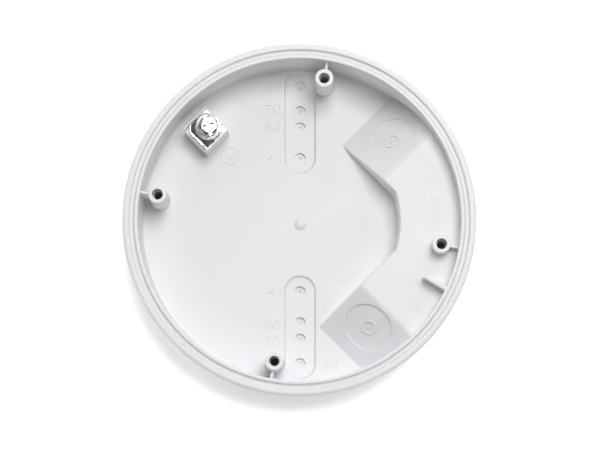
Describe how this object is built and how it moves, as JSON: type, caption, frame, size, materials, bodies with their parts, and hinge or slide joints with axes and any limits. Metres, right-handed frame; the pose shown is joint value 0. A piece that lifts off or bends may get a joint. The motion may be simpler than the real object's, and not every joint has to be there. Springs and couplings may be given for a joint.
{
  "type": "smoke detector mounting box",
  "caption": "Round shallow surface-mounting box for a smoke detector, with a grooved rim, screw pillars, break-out fixing strips, ramped cable knock-outs and an earth terminal.",
  "frame": {"origin": "middle of the back face, on the surface that the box is fixed to", "axes": "+Z out of the open front, +Y along the fixing strips with the earth terminal on the +Y side, +X towards the cable plateau"},
  "size_m": [0.1062, 0.1062, 0.0215],
  "materials": {
    "white_plastic": "satin moulded",
    "plated_steel": "bright nickel plated, pressed",
    "screw_steel": "bright nickel plated, turned"
  },
  "bodies": {
    "box": {"box_body": "white_plastic", "knockout_upper": "white_plastic", "knockout_lower": "white_plastic", "membranes_85": "white_plastic", "membranes_70": "white_plastic", "membranes_60": "white_plastic", "membranes_41": "white_plastic", "earth_base_plate": "plated_steel"},
    "clamp": {"earth_clamp_plate": "plated_steel", "earth_washer": "plated_steel"},
    "screw": {"earth_screw": "screw_steel"}
  },
  "joints": [
    {"name": "clamp_lift", "type": "slide", "parent": "box", "child": "clamp", "axis": [0, 0, 1], "range_m": [0, 0.0024]},
    {"name": "screw_turn", "type": "hinge", "parent": "clamp", "child": "screw", "pos_m": [-0.02762, 0.0288, 0.016], "axis": [0, 0, 1], "range_deg": [0, 1440.5]}
  ],
  "couplings": [
    {"joint": "screw_turn", "follows": "clamp_lift", "rad_per_m": 10472}
  ]
}
